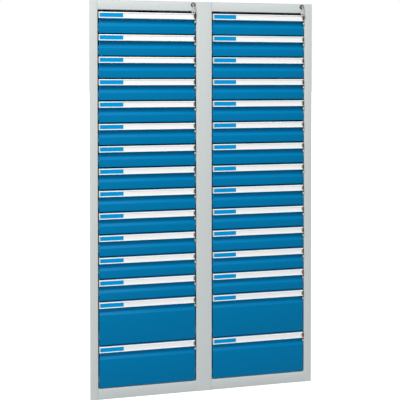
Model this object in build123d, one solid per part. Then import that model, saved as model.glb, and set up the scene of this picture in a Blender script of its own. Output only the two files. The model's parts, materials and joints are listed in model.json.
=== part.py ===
from build123d import *
import math
import os

os.makedirs("parts", exist_ok=True)

# Drawer cabinet with two columns of drawers. Millimetres. +X is to the right when facing the
# fronts, +Y goes into the cabinet and +Z is up. The origin is on the floor, in the middle of
# the outline, grip profiles included. Depths named d are measured from the front plane of the
# shell into the cabinet, so a negative d stands out in front of it.

# Shell
overall_width = 1030.0
overall_height = 1796.0
shell_depth = 500.0
shell_sheet = 1.2
floor_gap = 3.0
side_post_width = 36.0
centre_post_width = 72.0
post_depth = 50.0
post_lip = 14.0
header_height = 42.0
base_height = 50.0
rail_return = 20.0
panel_flange = 20.0
bottom_flange = 36.0
partition_foot = 16.0
upright_depth = 30.0
upright_gap_behind = 14.0
anchor_hole_radius = 4.5
anchor_spacing_x = 800.0
anchor_spacing_z = 1500.0

# Drawers
low_drawers = 13
deep_drawers = 2
deep_units = 2
gap_above_first = 7.4
spare_above_first = 4.0
gap_between = 6.0
gap_beside = 5.0
front_thickness = 18.0
front_sheet = 1.0
recess_depth = 10.0
recess_flat = 23.0
recess_slope = 10.0
tray_sheet = 1.0
slide_space = 14.0
tray_room_behind = 38.0
tray_lift = 6.0
rim_drop = 15.5

# Grip profile and its labels
grip_height = 27.0
grip_depth = 14.0
grip_wall = 1.4
grip_groove = 8.0
grip_border = 3.0
grip_bevel = 1.5
grip_lip = 1.0
grip_lip_thickness = 0.8
channel_depth = 1.6
card_thickness = 0.4
tag_thickness = 0.3
tag_length = 103.0
tag_height = 19.6
cover_thickness = 0.7
cap_plate = 2.0
cap_tongue = 8.0
left_cap_tongue = 3.5
nose_width = 5.5
nose_drop = 16.0
nose_play = 0.4
nose_reach = 2.5
label_play = 0.2

# Slides
slide_height = 32.0
slide_sheet = 1.5
slide_lift = 12.0
slide_flange = 11.5
slide_front = 22.0
runner_leg = 1.5
runner_height = 16.0
runner_ledge = 10.0
runner_ledge_thickness = 2.0
runner_ledge_drop = 15.0
glide_length = 25.0
glide_width = 9.5
glide_play = 0.3
block_length = 30.0
block_width = 10.3
block_play = 0.5
buffer_length = 14.0
buffer_height = 20.0
buffer_gap = 1.0
stop_gap = 1.0

# Lock bars, which run up behind the right-hand edge of each column
bar_front = 30.0
bar_thickness = 4.0
bar_width = 16.0
bar_inset = 4.0
bar_foot_gap = 25.0
hook_reach = 12.0
hook_height = 8.0
hook_side_play = 2.0
lug_lift = 58.0
lug_height = 8.0
lug_gap = 2.0
lug_length = 6.0
lug_reach = 12.0
hook_over_lug = 1.5
guide_half_height = 10.0
guide_play = 0.4
guide_wall = 5.0
guides_per_bar = 3

# Locks and keys
lock_from_edge = 14.0
lock_below_top = 14.0
flange_radius = 11.0
flange_thickness = 2.5
housing_radius = 7.9
housing_length = 22.0
plug_radius = 5.5
plug_length = 25.0
plug_proud = 3.5
turning_play = 0.1
nut_flats = 19.0
nut_thickness = 4.0
cam_radius = 10.5
cam_thickness = 3.0
cam_pin_radius = 2.0
cam_pin_offset = 7.0
cam_pin_length = 7.0
fork_play = 0.3
fork_prong = 3.0
screw_radius = 1.95
screw_head_radius = 3.5
screw_head_height = 1.5
screw_depth = 8.0
key_thickness = 2.2
key_height = 7.0
key_depth = 14.0
keyway_play = 0.2
fold_reach = 12.0
fold_eye = 4.0
bow_ear_play = 0.2
bow_ear = 2.0
bow_ear_half_depth = 2.5
bow_bridge_drop = 6.5
bow_radius = 9.0
bow_drop = 33.0
bow_thickness = 3.0
bow_hole_radius = 3.0
bow_hole_drop = 3.5
fold_pin_radius = 1.2
fold_pin_play = 0.05

# Feet
foot_inset = 60.0
foot_depth_inset = 88.0
foot_radius = 22.0
foot_height = 12.0
stud_radius = 5.0
stud_play = 0.1
foot_plate_half = 35.0
foot_plate_thickness = 6.0
stud_over_plate = 1.0

# Worked out from the sizes above
opening_width = (overall_width - 2 * side_post_width - centre_post_width) / 2
opening_top = overall_height - header_height
opening_height = opening_top - base_height
unit = (opening_height - spare_above_first) / (low_drawers + deep_units * deep_drawers)
column_x = (centre_post_width + opening_width) / 2
half_opening = opening_width / 2
half_width = overall_width / 2
grip_face = recess_depth - grip_depth
front_reach = max(-grip_face, fold_reach + fold_eye)
front_y = (front_reach - shell_depth) / 2
under_top = overall_height - shell_sheet
inside_side = half_width - shell_sheet
back_front = shell_depth - 2 * shell_sheet
bottom_under = base_height - shell_sheet
front_half = half_opening - gap_beside
tray_half = half_opening - slide_space
upright_back = shell_depth - upright_gap_behind
upright_front = upright_back - upright_depth
columns = {"left": -column_x, "right": column_x}
units_of_drawer = [1] * low_drawers + [deep_units] * deep_drawers
tray_end = shell_depth - tray_room_behind
block_front = tray_end - 2 * tray_sheet - block_length
travel = block_front - (slide_front + glide_length) - stop_gap
lug_front = bar_front + bar_thickness + lug_gap
hook_lift = lug_lift + lug_height + hook_over_lug
bar_drop = 2 * cam_pin_offset * math.sin(math.pi / 4)
lock_x = half_opening - lock_from_edge
lock_z = overall_height - lock_below_top
pin_step = cam_pin_offset * math.cos(math.pi / 4)
bar_left = half_opening + bar_inset


def block(x0, x1, d0, d1, z0, z1):
    """A plain block between two x, two depths and two heights."""
    middle = ((x0 + x1) / 2, front_y + (d0 + d1) / 2, (z0 + z1) / 2)
    return Pos(*middle) * Box(abs(x1 - x0), abs(d1 - d0), abs(z1 - z0))


def rod_y(x, z, d0, d1, radius):
    """A round rod that runs into the cabinet from depth d0 to d1."""
    place = Location((x, front_y + d0, z), (-90, 0, 0))
    return place * Cylinder(radius, d1 - d0, align=(Align.CENTER, Align.CENTER, Align.MIN))


def rod_x(x0, x1, d, z, radius):
    """A round rod across the cabinet."""
    place = Location((x0, front_y + d, z), (0, 90, 0))
    return place * Cylinder(radius, x1 - x0, align=(Align.CENTER, Align.CENTER, Align.MIN))


def rod_z(x, d, z0, z1, radius):
    """An upright round rod."""
    place = Pos(x, front_y + d, z0)
    return place * Cylinder(radius, z1 - z0, align=(Align.CENTER, Align.CENTER, Align.MIN))


def joined(*shapes):
    """One solid made of pieces that share faces."""
    body = shapes[0]
    for shape in shapes[1:]:
        body = body + shape
    return body.clean()


def solids_of(shape):
    """The separate solids of a shape."""
    return list(shape.solids())


def save(name, *shapes):
    """Writes one node with its separate solids."""
    solids = [solid for shape in shapes for solid in solids_of(shape)]
    node = solids[0] if len(solids) == 1 else Compound(children=solids)
    node.label = name
    export_step(node, f"parts/{name}.step")


def grip_tops():
    """The height of each drawer's grip profile, from the top drawer down."""
    tops = []
    top = opening_top - spare_above_first - gap_above_first
    for units in units_of_drawer:
        tops.append(top)
        top -= units * unit
    return tops


def drawer_levels():
    """The bottom and top of each drawer's front, from the top drawer down."""
    tops = grip_tops()
    lows = [low + gap_between for low in tops[1:]] + [base_height + gap_between]
    return list(zip(lows, tops))


levels = drawer_levels()


# Shell

def hook_slots(edge_x, side):
    """Cut-outs in a post wall, one for each hook of the lock bar beside it and one for the fork."""
    wall = (edge_x - side, edge_x + 2 * shell_sheet)
    d0 = bar_front - hook_side_play
    d1 = bar_front + bar_thickness + hook_side_play
    cuts = []
    for low, _ in levels:
        z0 = low + hook_lift - bar_drop - hook_side_play
        z1 = low + hook_lift + hook_height + hook_side_play
        cuts.append(block(wall[0], wall[1], d0, d1, z0, z1))
    fork_low = lock_z - pin_step - cam_pin_radius - fork_prong - 2 * hook_side_play
    cuts.append(block(wall[0], wall[1], d0, d1, fork_low, overall_height))
    return cuts


def side_panel(side):
    """Outer wall folded round the front into a post, and round the back into a flange."""
    outer = side * half_width
    inner = side * inside_side
    edge = side * (half_width - side_post_width)
    wall = block(outer, inner, 0, shell_depth, floor_gap, under_top)
    face = block(inner, edge, 0, shell_sheet, floor_gap, under_top)
    edge_in = edge + side * shell_sheet
    back = block(edge, edge_in, shell_sheet, post_depth, floor_gap, under_top)
    lip = block(edge_in, edge_in + side * post_lip, post_depth - shell_sheet, post_depth, floor_gap, under_top)
    rear_edge = inner - side * panel_flange
    rear = block(inner, rear_edge, shell_depth - shell_sheet, shell_depth, floor_gap, under_top)
    return joined(wall, face, back, lip, rear)


save("side_panel_left", side_panel(-1))

right_panel = side_panel(1)
for cut in hook_slots(half_width - side_post_width, 1):
    right_panel = right_panel - cut
save("side_panel_right", right_panel)


def centre_post():
    """A channel between the columns, open to the back."""
    half = centre_post_width / 2
    body = block(-half, half, 0, shell_sheet, floor_gap, under_top)
    for side in (-1, 1):
        outer = side * half
        inner = side * (half - shell_sheet)
        body = body + block(outer, inner, shell_sheet, post_depth, floor_gap, under_top)
        lip_end = inner - side * post_lip
        body = body + block(inner, lip_end, post_depth - shell_sheet, post_depth, floor_gap, under_top)
    body = body.clean()
    for cut in hook_slots(-half, 1):
        body = body - cut
    return body


save("center_post", centre_post())


def centre_partition():
    """A sheet between the columns, with a foot at the post and one at the back panel."""
    half = shell_sheet / 2
    sheet = block(-half, half, post_depth, back_front, base_height, under_top)
    front_foot = block(half, partition_foot, post_depth, post_depth + shell_sheet, base_height, under_top)
    back_foot = block(half, partition_foot, back_front - shell_sheet, back_front, base_height, under_top)
    return joined(sheet, front_foot, back_foot)


save("center_partition", centre_partition())


def cross_rail(middle_x, z0, z1):
    """A rail between two posts, folded back at its top and bottom."""
    x0 = middle_x - half_opening
    x1 = middle_x + half_opening
    web = block(x0, x1, 0, shell_sheet, z0, z1)
    low = block(x0, x1, shell_sheet, rail_return, z0, z0 + shell_sheet)
    high = block(x0, x1, shell_sheet, rail_return, z1 - shell_sheet, z1)
    return joined(web, low, high)


for side_name, middle in columns.items():
    header = cross_rail(middle, opening_top, under_top)
    hole = rod_y(middle + lock_x, lock_z, -1, 2 * shell_sheet, housing_radius + turning_play)
    save(f"header_rail_{side_name}", header - hole)

save("base_rails", *[cross_rail(middle, floor_gap, base_height) for middle in columns.values()])


def top_panel():
    """The lid sheet, with flanges down inside the side walls and the back."""
    sheet = block(-half_width, half_width, 0, shell_depth, under_top, overall_height)
    low = under_top - panel_flange
    clear_post = post_depth + shell_sheet
    body = sheet
    for side in (-1, 1):
        outer = side * inside_side
        inner = side * (inside_side - shell_sheet)
        body = body + block(outer, inner, clear_post, upright_front - shell_sheet, low, under_top)
    return body.clean()


save("top_panel", top_panel())


def bottom_panel():
    """The floor sheet, cut out round the posts, with deep flanges at its sides and back."""
    rear_end = back_front
    body = block(-inside_side, inside_side, post_depth, rear_end, bottom_under, base_height)
    for middle in columns.values():
        x0 = middle - half_opening
        x1 = middle + half_opening
        body = body + block(x0, x1, rail_return, post_depth, bottom_under, base_height)
    low = bottom_under - bottom_flange
    for side in (-1, 1):
        outer = side * inside_side
        inner = side * (inside_side - shell_sheet)
        body = body + block(outer, inner, post_depth, rear_end, low, bottom_under)
    body = body + block(-inside_side, inside_side, rear_end - shell_sheet, rear_end, low, bottom_under)
    return body.clean()


save("bottom_panel", bottom_panel())


def back_panel():
    """The back sheet with four holes for wall anchors."""
    sheet = block(-inside_side, inside_side, back_front, shell_depth - shell_sheet, floor_gap, under_top)
    for x in (-anchor_spacing_x / 2, anchor_spacing_x / 2):
        for z in (-anchor_spacing_z / 2, anchor_spacing_z / 2):
            middle_z = overall_height / 2 + z
            sheet = sheet - rod_y(x, middle_z, back_front - 1, shell_depth + 1, anchor_hole_radius)
    return sheet


save("back_panel", back_panel())


def rear_upright(inner_x, outer_x):
    """A channel at the back that carries the ends of one row of rails, open to the wall behind it."""
    step = shell_sheet if outer_x > inner_x else -shell_sheet
    face = block(inner_x, inner_x + step, upright_front, upright_back, base_height, under_top)
    front = block(inner_x + step, outer_x, upright_front, upright_front + shell_sheet, base_height, under_top)
    back = block(inner_x + step, outer_x, upright_back - shell_sheet, upright_back, base_height, under_top)
    return joined(face, front, back)


uprights = []
for side, middle in ((-1, -column_x), (1, column_x)):
    wall_side = middle + side * half_opening
    uprights.append(rear_upright(wall_side, side * inside_side))
    uprights.append(rear_upright(middle - side * half_opening, side * shell_sheet / 2))
save("rear_uprights", *uprights)


# Slides

def cabinet_rail(middle_x, side, low):
    """A channel on the cabinet that the drawer's runner slides in."""
    outer = middle_x + side * half_opening
    inner = outer - side * slide_sheet
    tip = outer - side * slide_flange
    z0 = low + slide_lift
    z1 = z0 + slide_height
    web = block(outer, inner, slide_front, upright_back, z0, z1)
    lower = block(inner, tip, slide_front, upright_back, z0, z0 + slide_sheet)
    upper = block(inner, tip, slide_front, upright_back, z1 - slide_sheet, z1)
    return joined(web, lower, upper)


def ledge_underside(low):
    """The height at which a drawer's runner rests on its front glide."""
    return low + slide_lift + runner_ledge_drop


def front_glide(middle_x, side, low):
    """A slippery block in the front of a rail, which carries the runner."""
    outer = middle_x + side * (half_opening - slide_sheet)
    inner = outer - side * glide_width
    z0 = low + slide_lift + slide_sheet
    return block(outer, inner, slide_front, slide_front + glide_length, z0, ledge_underside(low) - glide_play)


def rail_buffer(middle_x, side, low):
    """A rubber buffer at the back of a rail, which stops the closing drawer."""
    outer = middle_x + side * (half_opening - slide_sheet)
    inner = outer - side * glide_width
    middle_z = low + slide_lift + slide_height / 2
    d0 = block_front + block_length + buffer_gap
    z0 = middle_z - buffer_height / 2
    return block(outer, inner, d0, d0 + buffer_length, z0, z0 + buffer_height)


glides = []
buffers = []
for side_name, middle in columns.items():
    rails = []
    for low, _ in levels:
        for side in (-1, 1):
            rails.append(cabinet_rail(middle, side, low))
            glides.append(front_glide(middle, side, low))
            buffers.append(rail_buffer(middle, side, low))
    save(f"rails_{side_name}_column", *rails)
save("rail_glides", *glides)
save("rail_buffers", *buffers)


# Drawers

def cross_bar(points, half):
    """A bar across the column with one section, given as depths and heights."""
    corners = [Vector(-half, front_y + d, z) for d, z in points]
    outline = make_face(Polyline(corners, close=True))
    return extrude(outline, amount=2 * half, dir=(1, 0, 0))


def front_pan(height):
    """The folded front, open to the back, with a recess for the fingers behind and below the grip."""
    recess_low = height - grip_height - recess_flat
    slope_low = recess_low - recess_slope
    bend = math.atan2(recess_depth, recess_slope)
    drop = front_sheet * math.tan(bend / 2)
    face = [(0, 0), (0, slope_low), (recess_depth, recess_low), (recess_depth, height)]
    inside = [
        (front_sheet, front_sheet),
        (front_sheet, slope_low - drop),
        (recess_depth + front_sheet, recess_low - drop),
        (recess_depth + front_sheet, height - front_sheet),
    ]
    behind = front_thickness + 1
    outer = cross_bar(face + [(front_thickness, height), (front_thickness, 0)], front_half)
    hollow = cross_bar(inside + [(behind, height - front_sheet), (behind, front_sheet)], front_half - front_sheet)
    return outer - hollow


def grip_profile(top):
    """The grip along the top of a front: a hook for the fingers with a label channel in its face.

    It is drawn as its back, its bridge and its face, which share faces, so each can be a plain hull.
    The groove above the bridge and the space for the fingers below it stay open.
    """
    face = grip_face
    lip_back = face + grip_lip_thickness
    channel_back = lip_back + channel_depth
    web_back = channel_back + grip_wall
    low = top - grip_height
    half = front_half - cap_plate
    flange_front = recess_depth - grip_wall
    bridge_top = top - grip_groove
    back = block(-half, half, flange_front, recess_depth, low, bridge_top)
    bridge = block(-half, half, web_back, flange_front, bridge_top - grip_wall, bridge_top)
    points = [
        (web_back, top),
        (face + grip_bevel, top),
        (face, top - grip_bevel),
        (face, top - grip_border - grip_lip),
        (lip_back, top - grip_border - grip_lip),
        (lip_back, top - grip_border),
        (channel_back, top - grip_border),
        (channel_back, low + grip_border),
        (lip_back, low + grip_border),
        (lip_back, low + grip_border + grip_lip),
        (face, low + grip_border + grip_lip),
        (face, low + grip_bevel),
        (face + grip_bevel, low),
        (web_back, low),
    ]
    return [back, bridge, cross_bar(points, half)]


def grip_cap(side, top):
    """A moulded cap that closes an end of the grip and fills the end of its label channel."""
    end = side * front_half
    inner = end - side * cap_plate
    channel_front = grip_face + grip_lip_thickness
    low = top - grip_height
    plate = block(end, inner, grip_face, recess_depth, low, top)
    tongue_end = inner - side * (left_cap_tongue if side < 0 else cap_tongue)
    z0 = low + grip_border + label_play
    z1 = top - grip_border - label_play
    tongue = block(inner, tongue_end, channel_front, channel_front + channel_depth, z0, z1)
    return joined(plate, tongue)


def cap_nose(top):
    """The nose below the right-hand cap, which covers the gap beside the front."""
    x1 = front_half + nose_reach
    z1 = top - grip_height
    return block(x1 - nose_width, x1, grip_face, -nose_play, z1 - nose_drop, z1)


def labels(top):
    """The white card, the tag card at its left end and the clear cover over both."""
    x0 = -(front_half - cap_plate - left_cap_tongue)
    x1 = front_half - cap_plate - cap_tongue
    channel_back = grip_face + grip_lip_thickness + channel_depth
    low = top - grip_height
    z0 = low + grip_border + label_play
    z1 = top - grip_border - label_play
    card_front = channel_back - card_thickness
    tag_front = card_front - tag_thickness
    middle_z = (low + top) / 2
    card = block(x0, x1, card_front, channel_back, z0, z1)
    tag_top = middle_z + tag_height / 2
    tag = block(x0, x0 + tag_length, tag_front, card_front, middle_z - tag_height / 2, tag_top)
    cover = block(x0, x1, tag_front - cover_thickness, tag_front, z0, z1)
    return [card, tag, cover]


def runner(side):
    """The two legs of an angle on the side of the tray, whose ledge slides in the rail."""
    wall = side * tray_half
    face = wall + side * runner_leg
    tip = face + side * runner_ledge
    z1 = slide_lift + runner_ledge_drop + runner_ledge_thickness
    leg = block(wall, face, front_thickness, block_front, z1 - runner_height, z1)
    ledge = block(face, tip, front_thickness + 2, block_front, z1 - runner_ledge_thickness, z1)
    return [leg, ledge]


def rear_block(side):
    """A slippery block at the back of the tray, which fills the height of the rail."""
    wall = side * tray_half
    z0 = slide_lift + slide_sheet + block_play
    z1 = slide_lift + slide_height - slide_sheet - block_play
    return block(wall, wall + side * (runner_leg + block_width), block_front, block_front + block_length, z0, z1)


def drawer(height):
    """One drawer with its front's bottom at height 0, in the middle of the column."""
    inner_half = tray_half - tray_sheet
    front_inner = front_half - front_sheet
    rim = height - rim_drop
    bottom_top = tray_lift + tray_sheet
    tray_back = tray_end - tray_sheet
    pieces = [front_pan(height)]
    pieces.append(block(-front_inner, front_inner, front_thickness - front_sheet, front_thickness,
                        front_sheet, height - front_sheet))
    pieces.append(block(-inner_half, inner_half, front_thickness, tray_back, tray_lift, bottom_top))
    pieces.append(block(-inner_half, inner_half, tray_back, tray_end, tray_lift, rim))
    for side in (-1, 1):
        outer = side * tray_half
        pieces.append(block(outer, side * inner_half, front_thickness, tray_end, tray_lift, rim))
        pieces.extend(runner(side))
        pieces.append(rear_block(side))
        pieces.append(grip_cap(side, height))
    pieces.append(block(tray_half, tray_half + lug_reach, lug_front, lug_front + lug_length,
                        lug_lift, lug_lift + lug_height))
    pieces.append(cap_nose(height))
    pieces.extend(grip_profile(height))
    pieces.extend(labels(height))
    return pieces


drawer_shapes = {}
for side_name, middle in columns.items():
    for number, (low, high) in enumerate(levels, start=1):
        key = round(high - low, 6)
        if key not in drawer_shapes:
            drawer_shapes[key] = [solid for piece in drawer(high - low) for solid in solids_of(piece)]
        placed = [Pos(middle, 0, low) * solid for solid in drawer_shapes[key]]
        save(f"drawer_{side_name}_{number:02d}", *placed)


# Lock bars

def lock_bar(middle_x):
    """A flat bar with a hook for each drawer and a fork for the cam's pin."""
    x0 = middle_x + bar_left
    d1 = bar_front + bar_thickness
    pin_z = lock_z + pin_step
    prong_gap = cam_pin_radius + fork_play
    top = pin_z + prong_gap + fork_prong
    pieces = [block(x0, x0 + bar_width, bar_front, d1, base_height + bar_foot_gap, top)]
    for low, _ in levels:
        z0 = low + hook_lift
        pieces.append(block(x0 - hook_reach, x0, bar_front, d1, z0, z0 + hook_height))
    fork_tip = middle_x + lock_x + pin_step - cam_pin_radius - fork_play
    pieces.append(block(fork_tip, x0, bar_front, d1, pin_z + prong_gap, top))
    pieces.append(block(fork_tip, x0, bar_front, d1, pin_z - prong_gap - fork_prong, pin_z - prong_gap))
    return pieces


def bar_guide(middle_x, middle_z):
    """A block in the post with a slot that the lock bar slides in."""
    x0 = middle_x + half_opening + shell_sheet
    x1 = middle_x + bar_left + bar_width + guide_play + guide_wall
    d0 = bar_front - guide_wall
    d1 = bar_front + bar_thickness + guide_wall
    z0 = middle_z - guide_half_height
    z1 = middle_z + guide_half_height
    body = block(x0, x1, d0, d1, z0, z1)
    slot_x0 = middle_x + bar_left - guide_play
    slot_x1 = middle_x + bar_left + bar_width + guide_play
    slot_d1 = bar_front + bar_thickness + guide_play
    return body - block(slot_x0, slot_x1, bar_front - guide_play, slot_d1, z0 - 1, z1 + 1)


guides = []
guided = [levels[round(i * (len(levels) - 1) / (guides_per_bar - 1))] for i in range(guides_per_bar)]
for side_name, middle in columns.items():
    save(f"lock_bar_{side_name}", *lock_bar(middle))
    for low, _ in guided:
        guides.append(bar_guide(middle, low + slide_lift + slide_height / 2))
save("lock_bar_guides", *guides)


# Locks and keys

def lock_housing(x):
    """The fixed body of a lock, with its flange in front of the header."""
    body = joined(rod_y(x, lock_z, -flange_thickness, 0, flange_radius),
                  rod_y(x, lock_z, 0, housing_length, housing_radius))
    return body - rod_y(x, lock_z, -flange_thickness - 1, housing_length + 1, plug_radius + turning_play)


def lock_nut(x):
    """The nut that holds the housing from behind the header."""
    face = Plane(origin=(x, front_y + shell_sheet, lock_z), x_dir=(1, 0, 0), z_dir=(0, 1, 0))
    outline = face * RegularPolygon(nut_flats / 2, 6, major_radius=False)
    nut = extrude(outline, amount=nut_thickness, dir=(0, 1, 0))
    return nut - rod_y(x, lock_z, 0, shell_sheet + nut_thickness + 1, housing_radius + turning_play)


def keyway(x, d0, play):
    """The space of the key's blade, or the blade itself without play."""
    half_x = key_thickness / 2 + play
    half_z = key_height / 2 + play
    return block(x - half_x, x + half_x, d0, key_depth + play, lock_z - half_z, lock_z + half_z)


def lock_plug(x):
    """The turning plug, with its keyway and a hole for the cam's screw."""
    body = rod_y(x, lock_z, -plug_proud, plug_length, plug_radius)
    body = body - keyway(x, -plug_proud - 1, keyway_play)
    return body - rod_y(x, lock_z, plug_length - screw_depth, plug_length + 1, screw_radius + turning_play)


def lock_cam(x):
    """The cam on the back of the plug with its pin, and the screw that holds it."""
    d1 = plug_length + cam_thickness
    disc = rod_y(x, lock_z, plug_length, d1, cam_radius)
    disc = disc - rod_y(x, lock_z, plug_length - 1, d1 + 1, screw_radius + turning_play)
    pin = rod_y(x + pin_step, lock_z + pin_step, d1, d1 + cam_pin_length, cam_pin_radius)
    screw_start = plug_length - screw_depth + 1
    screw = joined(rod_y(x, lock_z, screw_start, d1, screw_radius),
                   rod_y(x, lock_z, d1, d1 + screw_head_height, screw_head_radius))
    return [joined(disc, pin), screw]


def key_blade(x):
    """The blade in the keyway, with an eye at its outer end for the fold pin."""
    body = keyway(x, -fold_reach - fold_eye, 0)
    return body - rod_x(x - key_thickness, x + key_thickness, -fold_reach, lock_z, fold_pin_radius + fold_pin_play)


def key_bow(x):
    """The folding bow: two ears on the blade, a bridge, a round head with a hole, and the fold pin."""
    ear_in = key_thickness / 2 + bow_ear_play
    ear_out = ear_in + bow_ear
    d0 = -fold_reach - bow_ear_half_depth
    d1 = -fold_reach + bow_ear_half_depth
    bridge_top = lock_z - bow_bridge_drop
    head_z = lock_z - bow_drop
    bridge_d0 = -fold_reach - bow_thickness / 2
    bridge_d1 = -fold_reach + bow_thickness / 2
    body = block(x - ear_out, x + ear_out, bridge_d0, bridge_d1, head_z, bridge_top)
    for side in (-1, 1):
        ear = block(x + side * ear_in, x + side * ear_out, d0, d1, bridge_top, lock_z + bow_ear_half_depth)
        body = body + ear
    body = body + rod_y(x, head_z, bridge_d0, bridge_d1, bow_radius)
    body = body.clean()
    body = body - rod_y(x, head_z - bow_hole_drop, bridge_d0 - 1, bridge_d1 + 1, bow_hole_radius)
    body = body - rod_x(x - ear_out - 1, x + ear_out + 1, -fold_reach, lock_z, fold_pin_radius + fold_pin_play)
    return [body, rod_x(x - ear_out, x + ear_out, -fold_reach, lock_z, fold_pin_radius)]


housings = []
nuts = []
for side_name, middle in columns.items():
    x_lock = middle + lock_x
    housings.append(lock_housing(x_lock))
    nuts.append(lock_nut(x_lock))
    save(f"lock_plug_{side_name}", lock_plug(x_lock))
    save(f"lock_cam_{side_name}", *lock_cam(x_lock))
    save(f"key_blade_{side_name}", key_blade(x_lock))
    save(f"key_bow_{side_name}", *key_bow(x_lock))
save("lock_housings", *housings)
save("lock_nuts", *nuts)


# Feet

foot_places = []
for foot_x in (-half_width + foot_inset, 0, half_width - foot_inset):
    for foot_d in (foot_depth_inset, shell_depth - foot_depth_inset):
        foot_places.append((foot_x, foot_d))

plate_low = bottom_under - foot_plate_thickness
feet = []
plates = []
for foot_x, foot_d in foot_places:
    feet.append(rod_z(foot_x, foot_d, 0, foot_height, foot_radius))
    feet.append(rod_z(foot_x, foot_d, foot_height, bottom_under - stud_over_plate, stud_radius))
    plate = block(foot_x - foot_plate_half, foot_x + foot_plate_half, foot_d - foot_plate_half,
                  foot_d + foot_plate_half, plate_low, bottom_under)
    plates.append(plate - rod_z(foot_x, foot_d, plate_low - 1, bottom_under, stud_radius + stud_play))
save("levelling_feet", *feet)
save("foot_plates", *plates)
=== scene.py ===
"""Drawer cabinet: two columns of blue drawers in a pale grey steel shell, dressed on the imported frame."""
from __future__ import annotations

import json
import logging
import math
import sys
from dataclasses import dataclass
from enum import Enum
from typing import Any, Sequence

import bmesh
import bpy
from mathutils import Matrix, Vector

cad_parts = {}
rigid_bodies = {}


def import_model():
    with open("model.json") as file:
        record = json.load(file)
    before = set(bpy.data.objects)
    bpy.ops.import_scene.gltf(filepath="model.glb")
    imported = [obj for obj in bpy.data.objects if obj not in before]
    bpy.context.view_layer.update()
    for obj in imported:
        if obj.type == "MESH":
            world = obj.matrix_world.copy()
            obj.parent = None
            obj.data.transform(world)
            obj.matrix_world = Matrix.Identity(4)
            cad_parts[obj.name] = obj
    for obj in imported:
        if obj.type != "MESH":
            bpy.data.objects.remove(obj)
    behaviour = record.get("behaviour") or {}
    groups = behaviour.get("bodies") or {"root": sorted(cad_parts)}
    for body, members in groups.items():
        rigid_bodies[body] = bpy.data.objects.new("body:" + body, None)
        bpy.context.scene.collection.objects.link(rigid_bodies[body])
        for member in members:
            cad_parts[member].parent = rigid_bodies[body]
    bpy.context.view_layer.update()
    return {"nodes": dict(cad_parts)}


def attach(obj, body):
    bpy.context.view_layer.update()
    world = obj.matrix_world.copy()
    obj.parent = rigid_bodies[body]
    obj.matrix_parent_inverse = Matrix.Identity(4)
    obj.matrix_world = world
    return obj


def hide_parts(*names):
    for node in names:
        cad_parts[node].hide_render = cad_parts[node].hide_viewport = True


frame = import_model()
log = logging.getLogger("drawer_cabinet")
MM = 0.001
Point2 = tuple[float, float]
Point3 = tuple[float, float, float]
BMesh = bmesh.types.BMesh
Object = bpy.types.Object


# Shader maths

class Signal:
    """A shader socket, or a plain number, that can be used in Python expressions."""

    def __init__(self, graph: "Graph", value: Any) -> None:
        """Keeps the graph that new nodes go into and the socket or number."""
        self.graph = graph
        self.value = value

    def _math(self, operation: str, *others: Any) -> "Signal":
        """Adds one Math node.

        Args:
            operation: the node's operation.
            others: the further inputs, after this one.

        Returns:
            The node's result.
        """
        values = {i: v for i, v in enumerate((self, *others))}
        return self.graph.node("ShaderNodeMath", {"operation": operation}, values)

    def __add__(self, other: Any) -> "Signal":
        """This plus other."""
        return self._math("ADD", other)

    def __radd__(self, other: Any) -> "Signal":
        """Other plus this."""
        return self._math("ADD", other)

    def __mul__(self, other: Any) -> "Signal":
        """This times other."""
        return self._math("MULTIPLY", other)

    def __rmul__(self, other: Any) -> "Signal":
        """Other times this."""
        return self._math("MULTIPLY", other)

    def clamped(self) -> "Signal":
        """This held between 0 and 1."""
        return self._math("MAXIMUM", 0.0)._math("MINIMUM", 1.0)


class Graph:
    """The node tree of one material or world."""

    def __init__(self, owner: Any) -> None:
        """Empties the owner's tree.

        Args:
            owner: the material or world.
        """
        owner.use_nodes = True
        self.tree = owner.node_tree
        self.tree.nodes.clear()
        self._coords: Signal | None = None

    def node(self, kind: str, settings: dict[str, Any] | None = None,
             values: dict[Any, Any] | None = None, out: Any = 0) -> Signal:
        """Adds a node.

        Args:
            kind: the node's type.
            settings: what is set on it first, such as an operation.
            values: what its inputs get, by name or number.
            out: the output that is returned.

        Returns:
            The output.
        """
        made = self.tree.nodes.new(kind)
        for name, value in (settings or {}).items():
            setattr(made, name, value)
        for key, value in (values or {}).items():
            source = value.value if isinstance(value, Signal) else value
            if isinstance(source, bpy.types.NodeSocket):
                self.tree.links.new(source, made.inputs[key])
            else:
                made.inputs[key].default_value = source
        return Signal(self, made.outputs[out] if made.outputs else None)

    @property
    def coords(self) -> Signal:
        """Object coordinates, in metres.

        Returns:
            The coordinates.
        """
        if self._coords is None:
            self._coords = self.node("ShaderNodeTexCoord", out="Object")
        return self._coords

    def stretched(self, scale: Sequence[float]) -> Signal:
        """Object coordinates times a scale for each axis."""
        return self.node("ShaderNodeMapping", None, {"Vector": self.coords, "Scale": tuple(scale)})

    def noise(self, scale: float, detail: float = 2.0, at: Signal | None = None) -> Signal:
        """Noise in 0 to 1.

        Args:
            scale: how many lumps to the metre.
            detail: how many finer layers.
            at: the coordinates, or None for object coordinates.

        Returns:
            The noise's factor.
        """
        values = {"Vector": at or self.coords, "Scale": scale, "Detail": detail, "Roughness": 0.55}
        return self.node("ShaderNodeTexNoise", None, values)

    def blend(self, factor: Signal, low: Sequence[float], high: Sequence[float]) -> Signal:
        """A colour between two colours."""
        values = {0: factor, 6: (*low, 1.0), 7: (*high, 1.0)}
        return self.node("ShaderNodeMix", {"data_type": "RGBA"}, values, out=2)

    def bump(self, height: Signal, strength: float, distance: float) -> Signal:
        """A normal that follows a height, in metres."""
        values = {"Strength": strength, "Distance": distance, "Height": height}
        return self.node("ShaderNodeBump", None, values)

    def finish(self, shader: Signal) -> None:
        """Links the shader to the material's output."""
        self.node("ShaderNodeOutputMaterial", None, {"Surface": shader})


Colour = tuple[float, float, float]


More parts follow.
